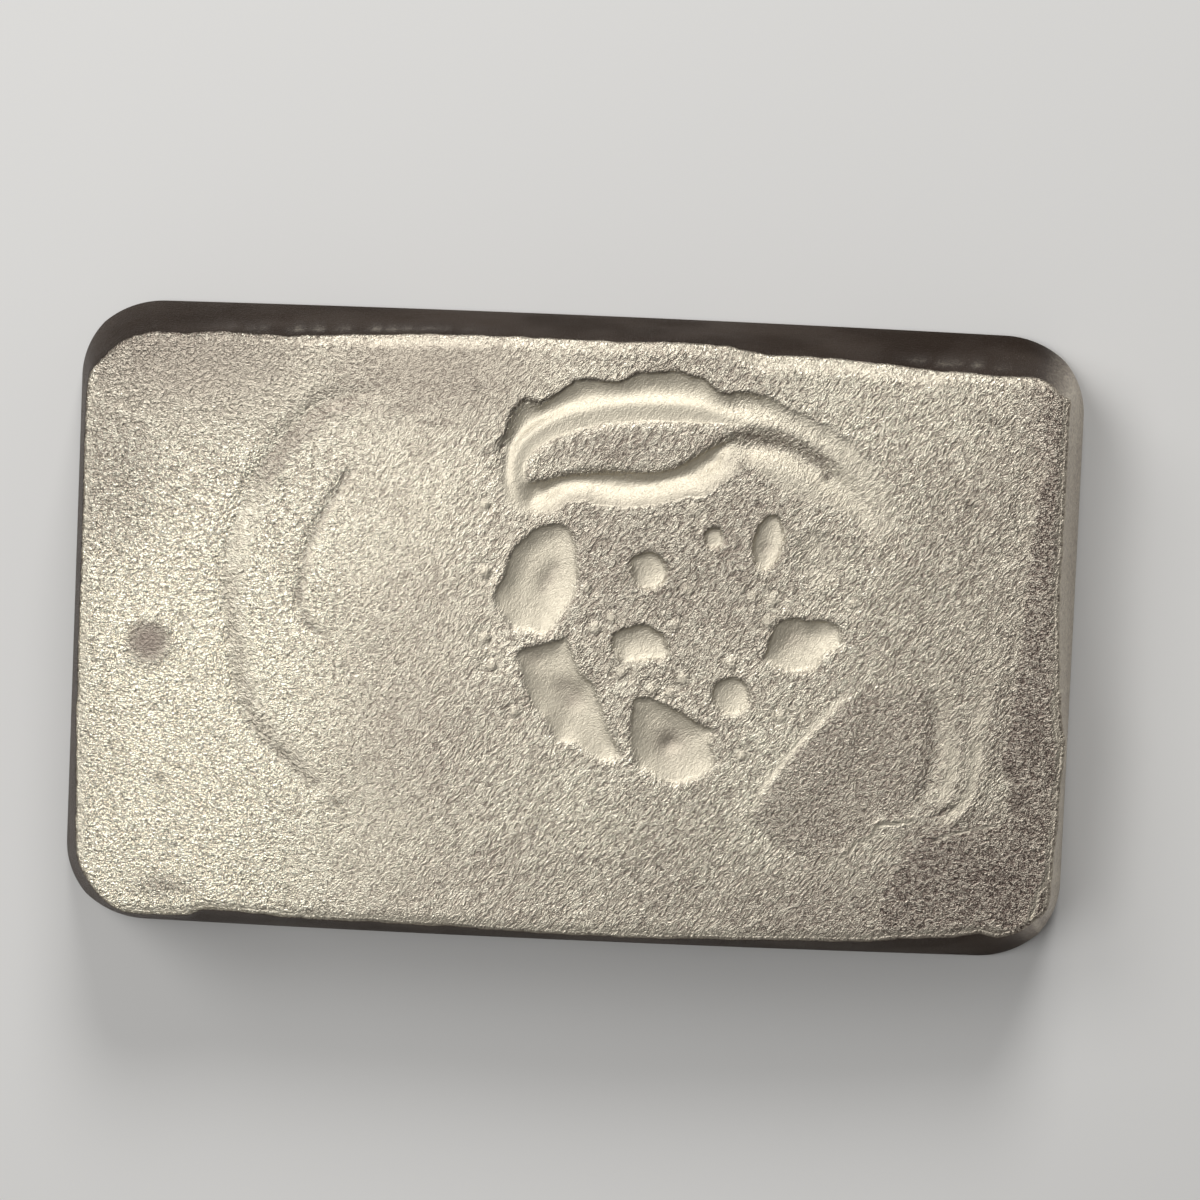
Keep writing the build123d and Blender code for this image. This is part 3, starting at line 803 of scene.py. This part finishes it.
# The colour: cream, brightest at the near left, where the lamp's sheen is painted into it.
broad = grain_noise(11.0, 11.0)
at_left = spread(face_x, -18 * MM, -31 * MM, 0.0, 1.0)
cream = tint(spread(broad, 0.35, 0.65, 0.0, 1.0), warm_cream, pale_cream)
left_sheen_cream = tint(spread(face_y, 15 * MM, 0.0, 0.0, 1.0), far_left_cream, near_left_sheen_cream)
colour = tint(at_left, cream, left_sheen_cream)

# It is paler on the grain's tops, as a painted highlight, and on the smooth skin, as a painted
# sheen, and browner where oxide and painted shade dull it.
painted_highlights = times(spread(relief, 0.48, 0.60, 0.0, 1.0), grain)
painted_highlights = times(painted_highlights, plus(spread(dull_and_shade, 0.0, 0.8, 0.5, 0.42), times(at_left, 0.4)))
colour = tint(painted_highlights, colour, highlight_cream)
colour = tint(spread(smoothness, 0.0, 0.7, 0.0, 0.8), colour, smooth_sheen_cream)
colour = tint(times(dull_and_shade, 0.6), colour, oxide_and_shade_brown)

# It is darkest in the grain's hollows, as painted shade and, above all where the skin is
# dulled, as oxide.
speckle = times(minus(fine, 0.5), times(dull_and_shade, 1.1))
depth_in_grain = minus(plus(relief, speckle), times(dull_and_shade, 0.06))
hollow_share = times(spread(depth_in_grain, 0.34, 0.48, 1.0, 0.0), grain)
hollow_share = times(hollow_share, minus(1.0, times(at_left, 0.4)))
colour = tint(times(hollow_share, spread(dull_and_shade, 0.3, 0.9, 0.50, 0.95)), colour, hollow_shade_and_oxide_brown)

# The sides' dark skin, with a ragged border to the face, and over all the dirt and the painted
# shade of rims and creases.
ragged_side = plus(side_share, times(minus(strokes, 0.5), 0.8))
side_brown = tint(spread(broad, 0.4, 0.6, 0.0, 1.0), dark_side_brown, pale_side_brown)
colour = tint(spread(ragged_side, 0.35, 0.8, 0.0, 1.0), colour, side_brown)
colour = tint(attribute("dirt_and_shade"), colour, dirt_and_shade_brown)
links.new(colour, shader.inputs["Base Color"])
links.new(tint(side_share, face_glint, side_glint), shader.inputs["Specular Tint"])

# The bumps: deeper where oxide and painted shade dull the skin and at the left, and lower in
# the middle.
bump = nodes.new("ShaderNodeBump")
bump.inputs["Strength"].default_value = 1.0
bump.inputs["Distance"].default_value = grain_depth * MM
in_middle = times(spread(face_x, -30 * MM, -18 * MM, 0.0, 1.0), spread(face_x, -6 * MM, 8 * MM, 1.0, 0.0))
bumps = times(plus(relief, times(fine, 0.3)), spread(dull_and_shade, 0.0, 0.7, 1.0, 1.5))
bumps = times(bumps, minus(1.0, times(in_middle, 0.35)))
bumps = times(bumps, plus(1.0, times(at_left, 0.15)))
links.new(plus(times(bumps, grain), times(fine, 0.2)), bump.inputs["Height"])
links.new(bump.outputs["Normal"], shader.inputs["Normal"])

# The gloss: duller on the smooth skin and under oxide and painted shade, and glossier at the left.
rough = plus(spread(fine, 0.3, 0.7, 0.26, 0.38), times(smoothness, 0.21))
rough = minus(rough, times(at_left, 0.07))
links.new(plus(rough, times(dull_and_shade, 0.06)), shader.inputs["Roughness"])
mesh.materials.append(skin)

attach(ingot, "root")
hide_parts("ingot")

# The floor. A plain pale sheet under the ingot, painted matt and far wider than the view. It
# only takes the ingot's shadow.
floor_mesh = bpy.data.meshes.new("floor")
sheet = bmesh.new()
bmesh.ops.create_grid(sheet, x_segments=1, y_segments=1, size=3.0)
sheet.to_mesh(floor_mesh)
sheet.free()
floor = bpy.data.objects.new("floor", floor_mesh)
bpy.context.scene.collection.objects.link(floor)
paint = bpy.data.materials.new("pale_floor")
paint.use_nodes = True
paint_shader = paint.node_tree.nodes["Principled BSDF"]
paint_shader.inputs["Base Color"].default_value = (0.80, 0.79, 0.77, 1.0)
paint_shader.inputs["Roughness"].default_value = 0.9
floor_mesh.materials.append(paint)

# The light. A soft lamp overhead to the left, as in the photograph, which dims the skin
# towards the right, one lower down beyond the far left corner, one beyond the far side, and an
# even room all round.
lamps = [
    ("overhead_lamp", (-240, 30, 600), 240, 1.02),
    ("corner_lamp", (-330, 260, 480), 300, 0.85),
    ("far_lamp", (40, 520, 400), 240, 1.9),
]
for name, stand, width, watts in lamps:
    lamp = bpy.data.lights.new(name, "AREA")
    lamp.shape = "DISK"
    lamp.size = width * MM
    lamp.energy = watts
    lamp_object = bpy.data.objects.new(name, lamp)
    spot = Vector(stand) * MM
    aim = (-spot).to_track_quat("-Z", "Y").to_matrix().to_4x4()
    lamp_object.matrix_world = Matrix.Translation(spot) @ aim
    bpy.context.scene.collection.objects.link(lamp_object)
world = bpy.data.worlds.new("room")
world.use_nodes = True
backdrop = world.node_tree.nodes["Background"]
backdrop.inputs["Color"].default_value = (0.15, 0.15, 0.15, 1.0)
backdrop.inputs["Strength"].default_value = 1.0
bpy.context.scene.world = world

# The camera. It looks down on the ingot from 0.3 m up, from just beyond its middle, and it is
# turned by the few degrees that the ingot lies aslant in the photograph.
camera = bpy.data.cameras.new("camera")
camera.sensor_width = 36.0
camera.lens = 95.1
camera.clip_start = 0.01
camera_object = bpy.data.objects.new("camera", camera)
camera_place = Vector((6.84, 20.37, 318.2)) * MM
turn, roll, tilt = radians(2.415), radians(0.89), radians(-3.103)
camera_object.matrix_world = (
    Matrix.Translation(camera_place) @ Matrix.Rotation(turn, 4, "Z")
    @ Matrix.Rotation(roll, 4, "Y") @ Matrix.Rotation(tilt, 4, "X"))
bpy.context.scene.collection.objects.link(camera_object)
bpy.context.scene.camera = camera_object

bpy.context.scene.view_settings.view_transform = "Standard"
